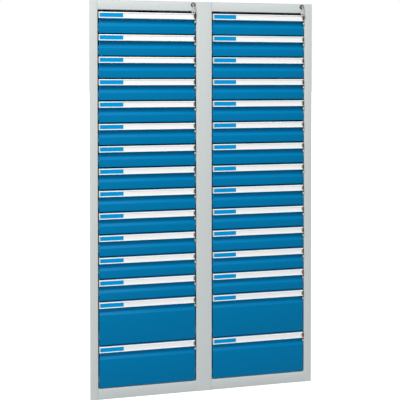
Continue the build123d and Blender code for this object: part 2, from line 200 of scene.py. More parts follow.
def shade(colour: Colour, factor: float) -> Colour:
    """A colour made lighter or darker."""
    return tuple(min(1.0, c * factor) for c in colour)  # type: ignore[return-value]


@dataclass(frozen=True)
class Finish:
    """What all finishes share: the name, the record's slot and the base colour."""

    name: str
    slot: str
    colour: Colour

    def surface(self, graph: Graph) -> dict[str, Any]:
        """The values and links of the Principled shader's inputs."""
        return {"Base Color": (*self.colour, 1.0)}

    def material(self) -> bpy.types.Material:
        """The finish as a Blender material, made once.

        Returns:
            The material.
        """
        found = bpy.data.materials.get(self.name)
        if found is not None:
            return found
        made = bpy.data.materials.new(self.name)
        graph = Graph(made)
        graph.finish(graph.node("ShaderNodeBsdfPrincipled", None, self.surface(graph)))
        made.diffuse_color = (*self.colour, 1.0)
        return made


@dataclass(frozen=True)
class PowderCoat(Finish):
    """Baked powder paint: fine orange peel, slight cloudiness and faint rub marks."""

    roughness: float = 0.42
    peel: float = 0.00004
    gloss: float = 0.22
    peel_scale: float = 420.0
    grain_scale: float = 1500.0
    cloud_scale: float = 3.2
    rub_scales: Point3 = (160.0, 40.0, 14.0)

    def surface(self, graph: Graph) -> dict[str, Any]:
        """Peel and grain in the normal, clouds and rub marks in the colour, rub marks in the roughness.

        Args:
            graph: the material's graph.

        Returns:
            The values and links of the Principled shader's inputs.
        """
        peel = graph.noise(self.peel_scale, 1.0)
        grain = graph.noise(self.grain_scale, 1.0)
        clouds = graph.noise(self.cloud_scale, 2.0)
        rubs = graph.noise(1.0, 3.0, graph.stretched(self.rub_scales))
        tone = (clouds * 0.7 + rubs * 0.3).clamped()
        return {
            "Base Color": graph.blend(tone, shade(self.colour, 0.965), shade(self.colour, 1.035)),
            "Roughness": self.roughness - 0.05 + 0.1 * rubs,
            "Normal": graph.bump(peel + 0.35 * grain, 0.35, self.peel),
            "Specular IOR Level": self.gloss,
        }


@dataclass(frozen=True)
class Anodised(Finish):
    """Drawn and anodised aluminium: fine lines along the profile."""

    metallic: float = 0.3
    cloud_scale: float = 30.0
    line_scales: Point3 = (4.0, 2600.0, 2600.0)

    def surface(self, graph: Graph) -> dict[str, Any]:
        """Lines along X in the roughness and the normal, and clouds in the colour.

        Args:
            graph: the material's graph.

        Returns:
            The values and links of the Principled shader's inputs.
        """
        lines = graph.noise(1.0, 3.0, graph.stretched(self.line_scales))
        clouds = graph.noise(self.cloud_scale, 2.0)
        return {
            "Base Color": graph.blend(clouds, shade(self.colour, 0.97), shade(self.colour, 1.02)),
            "Metallic": self.metallic,
            "Roughness": 0.34 + 0.12 * lines,
            "Normal": graph.bump(lines, 0.25, 0.00002),
        }


class Plating(Enum):
    """The platings of the hidden and the bright hardware: their roughness and their patches to the metre."""

    ZINC = (0.46, 90.0)
    NICKEL = (0.24, 260.0)


@dataclass(frozen=True)
class Plated(Finish):
    """Plated steel, dull zinc or bright nickel."""

    plating: Plating = Plating.ZINC
    mark_scales: Point3 = (900.0, 90.0, 240.0)

    def surface(self, graph: Graph) -> dict[str, Any]:
        """Patches in the colour and the roughness, and fine marks in the normal.

        Args:
            graph: the material's graph.

        Returns:
            The values and links of the Principled shader's inputs.
        """
        roughness, patch_scale = self.plating.value
        patches = graph.noise(patch_scale, 4.0)
        marks = graph.noise(1.0, 2.0, graph.stretched(self.mark_scales))
        return {
            "Base Color": graph.blend(patches, shade(self.colour, 0.86), shade(self.colour, 1.06)),
            "Metallic": 1.0,
            "Roughness": roughness - 0.06 + 0.16 * patches + 0.06 * marks,
            "Normal": graph.bump(marks, 0.2, 0.00003),
        }


@dataclass(frozen=True)
class Moulded(Finish):
    """Moulded plastic or rubber with a fine spark-eroded grain."""

    roughness: float = 0.5
    grain: float = 0.00003
    grain_scale: float = 2400.0
    cloud_scale: float = 45.0

    def surface(self, graph: Graph) -> dict[str, Any]:
        """Grain in the normal, and clouds in the colour and the roughness.

        Args:
            graph: the material's graph.

        Returns:
            The values and links of the Principled shader's inputs.
        """
        grain = graph.noise(self.grain_scale, 2.0)
        clouds = graph.noise(self.cloud_scale, 2.0)
        return {
            "Base Color": graph.blend(clouds, shade(self.colour, 0.92), shade(self.colour, 1.08)),
            "Roughness": self.roughness - 0.05 + 0.1 * clouds,
            "Normal": graph.bump(grain, 0.4, self.grain),
        }


@dataclass(frozen=True)
class Card(Finish):
    """Smooth card with faint fibres behind a clear glossy cover."""

    gloss: float = 0.5
    shine: float = 0.5
    fibre_scales: Point3 = (700.0, 1800.0, 1800.0)

    def surface(self, graph: Graph) -> dict[str, Any]:
        """Fibres in the colour, the roughness and the normal, and the cover as a coat.

        Args:
            graph: the material's graph.

        Returns:
            The values and links of the Principled shader's inputs.
        """
        fibres = graph.noise(1.0, 4.0, graph.stretched(self.fibre_scales))
        return {
            "Base Color": graph.blend(fibres, shade(self.colour, 0.975), shade(self.colour, 1.015)),
            "Roughness": 0.55 + 0.1 * fibres,
            "Normal": graph.bump(fibres, 0.2, 0.00002),
            "Coat Weight": self.gloss,
            "Coat Roughness": 0.12,
            "Specular IOR Level": self.shine,
        }


GREY_COAT = PowderCoat("pale_grey_powder_coat", "frame_grey", (0.662, 0.705, 0.695))
BLUE_COAT = PowderCoat("sky_blue_powder_coat", "drawer_blue", (0.0, 0.200, 0.443), gloss=0.04)
TRAY_COAT = PowderCoat("light_grey_tray_coat", "frame_grey", (0.62, 0.65, 0.65))
ALUMINIUM = Anodised("anodised_aluminium", "grip_aluminium", (0.93, 0.94, 0.945))
ZINC = Plated("zinc_plate", "zinc_steel", (0.60, 0.61, 0.62))
NICKEL = Plated("nickel_plate", "nickel", (0.50, 0.50, 0.48), plating=Plating.NICKEL)
NYLON = Moulded("natural_nylon", "nylon", (0.72, 0.71, 0.66))
RUBBER = Moulded("black_rubber", "rubber", (0.022, 0.022, 0.023), roughness=0.7)
FOOT_RUBBER = Moulded("foot_rubber", "foot_rubber", (0.03, 0.03, 0.031), roughness=0.72)
CAP_PLASTIC = Moulded("dark_cap_plastic", "end_cap", (0.085, 0.080, 0.072), roughness=0.45)
LOCK_BLACK = Moulded("black_lock_plating", "nickel", (0.03, 0.03, 0.032), roughness=0.35)
WHITE_CARD = Card("white_label_card", "label_card", (0.965, 0.975, 0.975))
BLUE_CARD = Card("blue_tag_card", "tag_card", (0.0, 0.345, 0.75), gloss=0.0, shine=0.03)


# Meshes. Every section is given in millimetres and every mesh is in metres.

def smooth(mesh: bpy.types.Mesh, angle: float = 32.0) -> None:
    """Smooth shading with sharp edges over an angle in degrees."""
    mesh.shade_smooth()
    mesh.set_sharp_from_angle(angle=math.radians(angle))


def linked(name: str, data: Any) -> Object:
    """A new object with the given data, linked to the scene.

    Args:
        name: the object's name.
        data: its mesh, lamp or camera.

    Returns:
        The object.
    """
    made = bpy.data.objects.new(name, data)
    bpy.context.scene.collection.objects.link(made)
    return made


def as_object(name: str, bm: BMesh, finish: Finish) -> Object:
    """Turns a bmesh in millimetres into an object in metres.

    Args:
        name: the object's name.
        bm: the mesh, which is freed.
        finish: its finish.

    Returns:
        The object, linked to the scene.
    """
    bmesh.ops.recalc_face_normals(bm, faces=bm.faces)
    bmesh.ops.scale(bm, vec=(MM, MM, MM), verts=bm.verts)
    mesh = bpy.data.meshes.new(name)
    bm.to_mesh(mesh)
    bm.free()
    smooth(mesh)
    mesh.materials.append(finish.material())
    return linked(name, mesh)


def add_box(bm: BMesh, low: Sequence[float], high: Sequence[float], bevel: float = 0.0,
            segments: int = 2) -> None:
    """Adds a block with rounded edges.

    Args:
        bm: the mesh.
        low: its lowest corner.
        high: its highest corner.
        bevel: the edges' radius, or 0 for sharp ones.
        segments: the faces across an edge.
    """
    size = [h - l for l, h in zip(low, high)]
    middle = Vector([(h + l) / 2 for l, h in zip(low, high)])
    matrix = Matrix.Translation(middle) @ Matrix.Diagonal((*size, 1.0))
    made = bmesh.ops.create_cube(bm, size=1.0, matrix=matrix)
    if bevel > 0:
        edges = list({e for v in made["verts"] for e in v.link_edges})
        bmesh.ops.bevel(bm, geom=edges, offset=bevel, segments=segments, profile=0.5, affect="EDGES")


class Axis(Enum):
    """The direction that a section is drawn out along. The section's two axes follow it."""

    ALONG_X = (Vector((0, 1, 0)), Vector((0, 0, 1)), Vector((1, 0, 0)))
    ALONG_Y = (Vector((1, 0, 0)), Vector((0, 0, 1)), Vector((0, 1, 0)))
    ALONG_Z = (Vector((1, 0, 0)), Vector((0, 1, 0)), Vector((0, 0, 1)))

    def place(self, a: float, b: float, along: float) -> Vector:
        """The point at a and b in the section, at a place along."""
        first, second, third = self.value
        return first * a + second * b + third * along


def rounded_path(points: Sequence[Point2], radius: float, steps: int = 4) -> list[tuple[Point2, Point2]]:
    """A bent line's points with its corners rounded.

    Args:
        points: the line's corners and ends.
        radius: the radius at the middle of the sheet.
        steps: the pieces of each bend.

    Returns:
        Pairs of a point and the unit normal to its left.
    """
    made: list[tuple[Vector, Vector]] = []
    corners = [Vector(p) for p in points]
    first = (corners[1] - corners[0]).normalized()
    made.append((corners[0], Vector((-first.y, first.x))))
    for before, here, after in zip(corners, corners[1:], corners[2:]):
        into = (here - before).normalized()
        out = (after - here).normalized()
        turn = into.angle_signed(out)
        tangent = math.tan(abs(turn) / 2)
        reach = min(radius * tangent, (here - before).length * 0.49, (after - here).length * 0.49)
        real = reach / tangent
        side = -1.0 if turn > 0 else 1.0
        start_normal = Vector((-into.y, into.x))
        centre = here - into * reach + start_normal * side * real
        for step in range(steps + 1):
            spin = Matrix.Rotation(-turn * step / steps, 2)
            normal = spin @ start_normal
            made.append((centre - normal * side * real, normal))
    last = (corners[-1] - corners[-2]).normalized()
    made.append((corners[-1], Vector((-last.y, last.x))))
    return [((p.x, p.y), (n.x, n.y)) for p, n in made]


def add_sheet(bm: BMesh, points: Sequence[Point2], thickness: float, axis: Axis, start: float,
              end: float, bend: float = 1.4) -> None:
    """Adds a folded sheet.

    Args:
        bm: the mesh.
        points: the middle line of the section.
        thickness: the sheet's thickness.
        axis: the direction of the folds.
        start: where it starts along them.
        end: where it ends.
        bend: the radius of a fold at the middle of the sheet.
    """
    line = rounded_path(points, bend)
    rings = []
    for along in (start, end):
        ring = []
        for (a, b), (na, nb) in line:
            half = thickness / 2
            ring.append((bm.verts.new(axis.place(a + na * half, b + nb * half, along)),
                         bm.verts.new(axis.place(a - na * half, b - nb * half, along))))
        rings.append(ring)
    near, far = rings
    for (n0, n1, f0, f1) in zip(near, near[1:], far, far[1:]):
        bm.faces.new((n0[0], n1[0], f1[0], f0[0]))
        bm.faces.new((n0[1], f0[1], f1[1], n1[1]))
        bm.faces.new((n0[0], n0[1], n1[1], n1[0]))
        bm.faces.new((f0[0], f1[0], f1[1], f0[1]))
    for i in (0, -1):
        bm.faces.new((near[i][0], far[i][0], far[i][1], near[i][1]))


def add_section(bm: BMesh, outline: Sequence[Point2], axis: Axis, start: float, end: float,
                bevel: float = 0.0) -> None:
    """Adds a solid with one outline all along it.

    Args:
        bm: the mesh.
        outline: the section's corners in order.
        axis: the direction it runs.
        start: where it starts along it.
        end: where it ends.
        bevel: the radius of its sharp edges, for a section alone in its mesh, or 0.
    """
    near = [bm.verts.new(axis.place(a, b, start)) for a, b in outline]
    far = [bm.verts.new(axis.place(a, b, end)) for a, b in outline]
    count = len(outline)
    for i in range(count):
        j = (i + 1) % count
        bm.faces.new((near[i], near[j], far[j], far[i]))
    ends = [bm.faces.new(near), bm.faces.new(list(reversed(far)))]
    if bevel > 0:
        bmesh.ops.recalc_face_normals(bm, faces=bm.faces)
        edges = [edge for edge in bm.edges if edge.calc_face_angle(0.0) > math.radians(40)]
        bmesh.ops.bevel(bm, geom=edges, offset=bevel, segments=3, profile=0.5, affect="EDGES")
        ends = [face for face in bm.faces if len(face.verts) > 4]
    bmesh.ops.triangulate(bm, faces=ends)


def add_lathe(bm: BMesh, profile: Sequence[Point2], centre: Sequence[float], axis: Axis,
              steps: int = 32, closed: bool = False) -> None:
    """Adds a turned piece.

    Args:
        bm: the mesh.
        profile: pairs of a radius and a place along the axis. A radius of 0 closes an end.
        centre: a point on the axis, at place 0.
        axis: the direction of the axis.
        steps: the faces round it.
        closed: the profile is a ring, as on a tube.
    """
    first, second, third = axis.value
    base = Vector(centre)
    rings: list[list[bmesh.types.BMVert]] = []
    for radius, along in profile:
        if radius == 0:
            rings.append([bm.verts.new(base + third * along)])
            continue
        ring = []
        for step in range(steps):
            angle = math.tau * step / steps
            place = base + (first * math.cos(angle) + second * math.sin(angle)) * radius + third * along
            ring.append(bm.verts.new(place))
        rings.append(ring)
    pairs = list(zip(rings, rings[1:]))
    if closed:
        pairs.append((rings[-1], rings[0]))
    for low, high in pairs:
        for step in range(steps):
            after = (step + 1) % steps
            corners = [low[step % len(low)], low[after % len(low)],
                       high[after % len(high)], high[step % len(high)]]
            bm.faces.new(list(dict.fromkeys(corners)))


def add_rod(bm: BMesh, radius: float, ends: Point2, centre: Sequence[float], axis: Axis, steps: int) -> None:
    """Adds a plain rod between two places along an axis."""
    low, high = ends
    add_lathe(bm, [(0, low), (radius, low), (radius, high), (0, high)], centre, axis, steps)


def span(side: int, near: float, far: float) -> Point2:
    """Two places on one side of a middle, the lower one first."""
    low, high = sorted((side * near, side * far))
    return (low, high)


def add_pierced(bm: BMesh, xs: Point2, ys: Sequence[float], zs: Sequence[float],
                holes: set[tuple[int, int]]) -> None:
    """Adds an upright plate in the Y and Z plane with square holes through it.

    Args:
        bm: the mesh.
        xs: its two faces.
        ys: the lines of its grid across.
        zs: the lines of its grid up.
        holes: the grid's open cells, as numbers across and up.
    """
    grid = [[[bm.verts.new((x, y, z)) for z in zs] for y in ys] for x in xs]
    across, up = len(ys) - 1, len(zs) - 1

    def solid(i: int, j: int) -> bool:
        """A cell of the grid has material."""
        return 0 <= i < across and 0 <= j < up and (i, j) not in holes

    for i in range(across):
        for j in range(up):
            if not solid(i, j):
                continue
            corners = ((i, j), (i + 1, j), (i + 1, j + 1), (i, j + 1))
            for face in grid:
                bm.faces.new([face[a][b] for a, b in corners])
            beside = ((i, j - 1), (i + 1, j), (i, j + 1), (i - 1, j))
            for (a, b), (c, d), other in zip(corners, corners[1:] + corners[:1], beside):
                if not solid(*other):
                    bm.faces.new((grid[0][a][b], grid[1][a][b], grid[1][c][d], grid[0][c][d]))
    bmesh.ops.delete(bm, geom=[v for v in bm.verts if not v.link_faces], context="VERTS")


def moved_copy(source: Object, name: str, shift: Sequence[float]) -> Object:
    """A copy of an object, moved in its mesh.

    Args:
        source: the object.
        name: the copy's name.
        shift: the move in millimetres.

    Returns:
        The copy.
    """
    mesh = source.data.copy()
    mesh.name = name
    mesh.transform(Matrix.Translation(Vector(shift) * MM))
    return linked(name, mesh)


def cut(target: Object, cutter: Object) -> Object:
    """Cuts one object's shape out of another and removes the cutter.

    Args:
        target: the object that is cut.
        cutter: the shape that is taken out.

    Returns:
        The target.
    """
    modifier = target.modifiers.new("cut", "BOOLEAN")
    modifier.operation = "DIFFERENCE"
    modifier.solver = "EXACT"
    modifier.object = cutter
    baked(target)
    drop(cutter)
    return target


def drop(thing: Object) -> None:
    """Removes an object and its mesh.

    Args:
        thing: the object.
    """
    mesh = thing.data
    bpy.data.objects.remove(thing)
    bpy.data.meshes.remove(mesh)


def baked(target: Object) -> Object:
    """Turns an object's modifiers into a plain mesh.

    Args:
        target: the object.

    Returns:
        The same object.
    """
    graph = bpy.context.evaluated_depsgraph_get()
    mesh = bpy.data.meshes.new_from_object(target.evaluated_get(graph), depsgraph=graph)
    old = target.data
    mesh.name = target.name
    target.modifiers.clear()
    target.data = mesh
    if old.users == 0:
        bpy.data.meshes.remove(old)
    smooth(mesh)
    return target


# Geometry Nodes

class Repeat:
    """A Geometry Nodes tree that puts a part on each of a row of points."""

    def __init__(self) -> None:
        """Builds the tree: part, count, first place, step and finish are its inputs."""
        tree = bpy.data.node_groups.new("repeat_on_line", "GeometryNodeTree")
        self.tree = tree
        self.ids: dict[str, str] = {}
        sockets = (("Part", "NodeSocketObject"), ("Count", "NodeSocketInt"), ("First", "NodeSocketVector"),
                   ("Step", "NodeSocketVector"), ("Finish", "NodeSocketMaterial"))
        tree.interface.new_socket("Geometry", in_out="INPUT", socket_type="NodeSocketGeometry")
        for name, kind in sockets:
            item = tree.interface.new_socket(name, in_out="INPUT", socket_type=kind)
            self.ids[name] = item.identifier
        tree.interface.new_socket("Geometry", in_out="OUTPUT", socket_type="NodeSocketGeometry")
        inputs = tree.nodes.new("NodeGroupInput")
        line = self._add("GeometryNodeMeshLine", {"Count": inputs.outputs["Count"],
                                                  "Start Location": inputs.outputs["First"],
                                                  "Offset": inputs.outputs["Step"]})
        part = self._add("GeometryNodeObjectInfo", {"Object": inputs.outputs["Part"]})
        spread = self._add("GeometryNodeInstanceOnPoints", {"Points": line.outputs["Mesh"],
                                                            "Instance": part.outputs["Geometry"]})
        real = self._add("GeometryNodeRealizeInstances", {"Geometry": spread.outputs["Instances"]})
        dressed = self._add("GeometryNodeSetMaterial", {"Geometry": real.outputs["Geometry"],
                                                        "Material": inputs.outputs["Finish"]})
        out = tree.nodes.new("NodeGroupOutput")
        tree.links.new(dressed.outputs["Geometry"], out.inputs["Geometry"])

    def _add(self, kind: str, values: dict[str, Any]) -> bpy.types.Node:
        """Adds a node and links its inputs.

        Args:
            kind: the node's type.
            values: the sockets that its inputs are linked to, by name.

        Returns:
            The node.
        """
        made = self.tree.nodes.new(kind)
        for name, value in values.items():
            self.tree.links.new(value, made.inputs[name])
        return made

    def run(self, name: str, part: Object, count: int, first: Sequence[float], step: Sequence[float],
            finish: Finish) -> Object:
        """Makes one row as a plain mesh.

        Args:
            name: the new object's name.
            part: what is repeated, in place for the first one.
            count: how many.
            first: a move of the first one, in millimetres.
            step: the move from one to the next, in millimetres.
            finish: their finish.

        Returns:
            The row.
        """
        row = linked(name, bpy.data.meshes.new(name))
        modifier = row.modifiers.new("repeat", "NODES")
        modifier.node_group = self.tree
        values = {"Part": part, "Count": count, "First": tuple(v * MM for v in first),
                  "Step": tuple(v * MM for v in step), "Finish": finish.material()}
        for key, value in values.items():
            modifier[self.ids[key]] = value
        return baked(row)


def joined(name: str, parts: Sequence[Object]) -> Object:
    """One object from several with the same finish, which are removed.

    Args:
        name: the new object's name.
        parts: the objects.

    Returns:
        The new object.
    """
    bm = bmesh.new()
    for part in parts:
        bm.from_mesh(part.data)
    mesh = bpy.data.meshes.new(name)
    bm.to_mesh(mesh)
    bm.free()
    mesh.materials.append(parts[0].data.materials[0])
    smooth(mesh)
    for part in parts:
        drop(part)
    return linked(name, mesh)


def dress(piece: Object, body: str, finish: Finish, *nodes: str) -> None:
    """Puts a finished piece on its body.

    Args:
        piece: the piece.
        body: the body that it moves with.
        finish: its finish, whose name is logged.
        nodes: the CAD nodes that it stands for.
    """
    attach(piece, body)
    if nodes:
        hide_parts(*nodes)
    log.info("%s on %s, %d faces, %s", piece.name, body, len(piece.data.polygons), finish.name)


def keep(node: str, finish: Finish) -> None:
    """Gives a CAD node that stays its finish.

    Args:
        node: the node's name.
        finish: its finish.
    """
    mesh = frame["nodes"][node].data
    mesh.materials.clear()
    mesh.materials.append(finish.material())
    log.info("%s kept, %s", node, finish.name)


# Sizes that the sub-assemblies share

class Column(Enum):
    """The two columns of drawers, with the x of their middles in millimetres."""

    LEFT = -257.5
    RIGHT = 257.5

    @property
    def label(self) -> str:
        """The column's name in the names of bodies and nodes."""
        return self.name.lower()


@dataclass(frozen=True)
class Layout:
    """The sizes that the sub-assemblies share, in millimetres. Depths are from the front plane."""

    width: float = 1030.0
    height: float = 1796.0
    depth: float = 500.0
    sheet: float = 1.2
    floor_gap: float = 3.0
    side_post: float = 36.0
    centre_post: float = 72.0
    post_depth: float = 50.0
    post_lip: float = 14.0
    header: float = 42.0
    base: float = 50.0
    low_drawers: int = 13
    deep_drawers: int = 2
    unit: float = 100.0
    above_first: float = 11.4
    between: float = 6.0
    reach: float = 16.0
    hook: Point2 = (67.5, 75.5)
    bar_depths: Point2 = (30.0, 34.0)
    lock_x: float = 207.5
    lock_z: float = 1782.0

    @property
    def front(self) -> float:
        """The y of the front plane."""
        return (self.reach - self.depth) / 2

    @property
    def half_opening(self) -> float:
        """Half the width of a column's opening."""
        return (self.width - 2 * self.side_post - self.centre_post) / 4

    @property
    def under_top(self) -> float:
        """The underside of the lid sheet."""
        return self.height - self.sheet

    @property
    def levels(self) -> list[Point2]:
        """The bottom and top of each drawer's front, from the top drawer down.

        Returns:
            Pairs of a bottom and a top.
        """
        tops = []
        top = self.height - self.header - self.above_first
        for units in [1] * self.low_drawers + [2] * self.deep_drawers:
            tops.append(top)
            top -= units * self.unit
        lows = [low + self.between for low in tops[1:]] + [self.base + self.between]
        return list(zip(lows, tops))

    @property
    def rows(self) -> list[tuple[float, int, float]]:
        """The bottoms as even rows: the first one, how many, and the step.

        Returns:
            The low drawers' row and the deep drawers' row.
        """
        lows = [low for low, _ in self.levels]
        first_deep = self.low_drawers
        return [(lows[0], first_deep, lows[1] - lows[0]),
                (lows[first_deep], self.deep_drawers, lows[first_deep + 1] - lows[first_deep])]


@dataclass
class Shell:
    """The welded and painted shell: posts, panels, rails across and the back."""

    layout: Layout
    repeat: Repeat
    seam: float = 0.12
    flange: float = 20.0
    lid_flange: Point2 = (51.2, 454.0)
    floor_flange: float = 36.0
    lock_hole: float = 8.0
    bar_drop: float = 9.9
    slot_play: float = 2.0
    notch_drop: float = 13.9
    anchor_xs: Point2 = (-400.0, 400.0)
    anchor_zs: Point2 = (148.0, 1648.0)
    anchor_radius: float = 4.5
    rib_width: float = 18.0
    rib_rise: float = 0.9
    rib_count: int = 5
    rib_spread: float = 700.0
    rib_end: float = 220.0
    weld_radius: float = 3.2
    weld_step: float = 75.0
    weld_inset: float = 34.0
    weld_ends: Point2 = (90.0, 30.0)

    def build(self) -> None:
        """Makes every piece of the shell."""
        self._side(Column.LEFT)
        self._side(Column.RIGHT)
        self._centre_post()
        self._cross_rails()
        self._lid()
        self._floor_sheet()
        self._back()
        keep("center_partition", GREY_COAT)
        keep("rear_uprights", ZINC)

    def _hook_slots(self, x0: float, x1: float) -> Object:
        """The cutter for the hook slots and the fork's notch in a post wall.

        Args:
            x0: where it starts across.
            x1: where it ends across.

        Returns:
            The cutter.
        """
        lay = self.layout
        d0 = lay.bar_depths[0] - self.slot_play + lay.front
        d1 = lay.bar_depths[1] + self.slot_play + lay.front
        bm = bmesh.new()
        for low, _ in lay.levels:
            z0 = low + lay.hook[0] - self.bar_drop - self.slot_play
            z1 = low + lay.hook[1] + self.slot_play
            add_box(bm, (x0, d0, z0), (x1, d1, z1), 0.8, 1)
        add_box(bm, (x0, d0, lay.lock_z - self.notch_drop), (x1, d1, lay.height + 20))
        return as_object("hook_slots", bm, GREY_COAT)

    def _upright(self, name: str, points: Sequence[Point2]) -> Object:
        """A sheet with upright folds, from the floor gap to the lid.

        Args:
            name: the object's name.
            points: the widths and depths of the sheet's middle line.

        Returns:
            The folded sheet.
        """
        lay = self.layout
        bm = bmesh.new()
        line = [(x, d + lay.front) for x, d in points]
        add_sheet(bm, line, lay.sheet, Axis.ALONG_Z, lay.floor_gap, lay.under_top)
        return as_object(name, bm, GREY_COAT)

    def _side(self, column: Column) -> None:
        """A side panel, folded round the front into a post and round the back into a flange.

        Args:
            column: the column that it stands beside.
        """
        lay = self.layout
        side = math.copysign(1.0, column.value)
        half = lay.width / 2
        t = lay.sheet / 2
        edge = half - lay.side_post
        points = [(side * (half - 2 * t - self.flange), lay.depth - t), (side * (half - t), lay.depth - t),
                  (side * (half - t), t), (side * (edge + t), t), (side * (edge + t), lay.post_depth - t),
                  (side * (edge + 2 * t + lay.post_lip), lay.post_depth - t)]
        node = f"side_panel_{column.label}"
        piece = self._upright(f"{node}_folded", points)
        if column is Column.RIGHT:
            cut(piece, self._hook_slots(edge - 1, edge + 3))
        dress(piece, "cabinet", GREY_COAT, node)

    def _centre_post(self) -> None:
        """The post between the columns."""
        lay = self.layout
        t = lay.sheet / 2
        half = lay.centre_post / 2 - t
        back = lay.post_depth - t
        points = [(-half + t + lay.post_lip, back), (-half, back), (-half, t), (half, t), (half, back),
                  (half - t - lay.post_lip, back)]
        piece = self._upright("center_post_folded", points)
        cut(piece, self._hook_slots(-lay.centre_post / 2 - 1, -lay.centre_post / 2 + 3))
        dress(piece, "cabinet", GREY_COAT, "center_post")

    def _cross_rails(self) -> None:
        """The header rail and the base rail of each column."""
        lay = self.layout
        t = lay.sheet / 2
        for column in Column:
            x0 = column.value - lay.half_opening + self.seam
            x1 = column.value + lay.half_opening - self.seam
            ends = {"header": (lay.height - lay.header, lay.under_top), "base": (lay.floor_gap, lay.base)}
            for kind, (z0, z1) in ends.items():
                points = [(self.flange, z0 + t), (t, z0 + t), (t, z1 - t), (self.flange, z1 - t)]
                bm = bmesh.new()
                add_sheet(bm, [(d + lay.front, z) for d, z in points], lay.sheet, Axis.ALONG_X, x0, x1)
                piece = as_object(f"{kind}_rail_{column.label}_folded", bm, GREY_COAT)
                if kind == "header":
                    hole = bmesh.new()
                    centre = (column.value + lay.lock_x, lay.front, lay.lock_z)
                    add_rod(hole, self.lock_hole, (-5, 10), centre, Axis.ALONG_Y, 40)
                    cut(piece, as_object("lock_hole", hole, GREY_COAT))
                nodes = [f"header_rail_{column.label}"] if kind == "header" else ["base_rails"]
                dress(piece, "cabinet", GREY_COAT, *nodes)

    def _lid(self) -> None:
        """The lid sheet with its flanges inside the side walls."""
        lay = self.layout
        bm = bmesh.new()
        half = lay.width / 2
        near, far = self.lid_flange
        add_box(bm, (-half, lay.front, lay.under_top), (half, lay.front + lay.depth, lay.height), 0.5)
        for side in (-1, 1):
            x0, x1 = span(side, half - lay.sheet, half - 2 * lay.sheet)
            low = (x0, lay.front + near, lay.under_top - self.flange)
            add_box(bm, low, (x1, lay.front + far, lay.under_top))
        dress(as_object("top_panel_folded", bm, GREY_COAT), "cabinet", GREY_COAT, "top_panel")

    def _floor_sheet(self) -> None:
        """The floor sheet with its deep side and back flanges."""
        lay = self.layout
        t = lay.sheet / 2
        half = lay.width / 2 - 3 * t
        low = lay.base - lay.sheet - self.floor_flange
        z = lay.base - t
        back = lay.depth - 2 * lay.sheet
        bm = bmesh.new()
        add_sheet(bm, [(-half, low), (-half, z), (half, z), (half, low)], lay.sheet, Axis.ALONG_Y,
                  lay.front + lay.post_depth, lay.front + back - lay.sheet)
        for column in Column:
            add_box(bm, (column.value - lay.half_opening, lay.front + self.flange, lay.base - lay.sheet),
                    (column.value + lay.half_opening, lay.front + lay.post_depth, lay.base))
        add_box(bm, (-half, lay.front + back - lay.sheet, low), (half, lay.front + back, lay.base))
        dress(as_object("bottom_panel_folded", bm, GREY_COAT), "cabinet", GREY_COAT, "bottom_panel")

    def _back(self) -> None:
        """The back sheet with its anchor holes, pressed ribs and rows of spot welds."""
        lay = self.layout
        half = lay.width / 2 - lay.sheet
        d0 = lay.depth - 2 * lay.sheet + lay.front
        d1 = lay.depth - lay.sheet + lay.front
        bm = bmesh.new()
        add_box(bm, (-half, d0, lay.floor_gap), (half, d1, lay.under_top))
        sheet = as_object("back_sheet", bm, GREY_COAT)
        holes = bmesh.new()
        for x in self.anchor_xs:
            for z in self.anchor_zs:
                centre = (x, (d0 + d1) / 2, z)
                add_rod(holes, self.anchor_radius, (-3, 3), centre, Axis.ALONG_Y, 24)
        cut(sheet, as_object("anchor_holes", holes, GREY_COAT))
        rib = bmesh.new()
        rise = self.rib_rise
        width = self.rib_width / 2
        section = [(-width, d1 - 0.2), (width, d1 - 0.2), (width - 1, d1 + 0.1),
                   (width * 0.5, d1 + rise * 0.8), (0.0, d1 + rise), (-width * 0.5, d1 + rise * 0.8),
                   (1 - width, d1 + 0.1)]
        add_section(rib, section, Axis.ALONG_Z, self.rib_end, lay.height - self.rib_end)
        rib_part = as_object("rib", rib, GREY_COAT)
        step = self.rib_spread / (self.rib_count - 1)
        first = (-self.rib_spread / 2, 0, 0)
        ribs = self.repeat.run("back_ribs", rib_part, self.rib_count, first, (step, 0, 0), GREY_COAT)
        weld = bmesh.new()
        radius = self.weld_radius
        dimple = [(radius, -0.1), (radius, 0.12), (radius * 0.7, 0.3), (radius * 0.45, 0.18), (0, 0.1)]
        add_lathe(weld, dimple, (0, d1, 0), Axis.ALONG_Y, 12)
        weld_part = as_object("weld", weld, GREY_COAT)
        count = int((lay.height - sum(self.weld_ends)) / self.weld_step)
        beside = half - self.weld_inset
        rows = [self.repeat.run("welds", weld_part, count, (x, 0, self.weld_ends[0]), (0, 0, self.weld_step),
                                GREY_COAT) for x in (-beside, 0.0, beside)]
        for part in (rib_part, weld_part):
            drop(part)
        piece = joined("back_panel_pressed", [sheet, ribs, *rows])
        dress(piece, "cabinet", GREY_COAT, "back_panel")


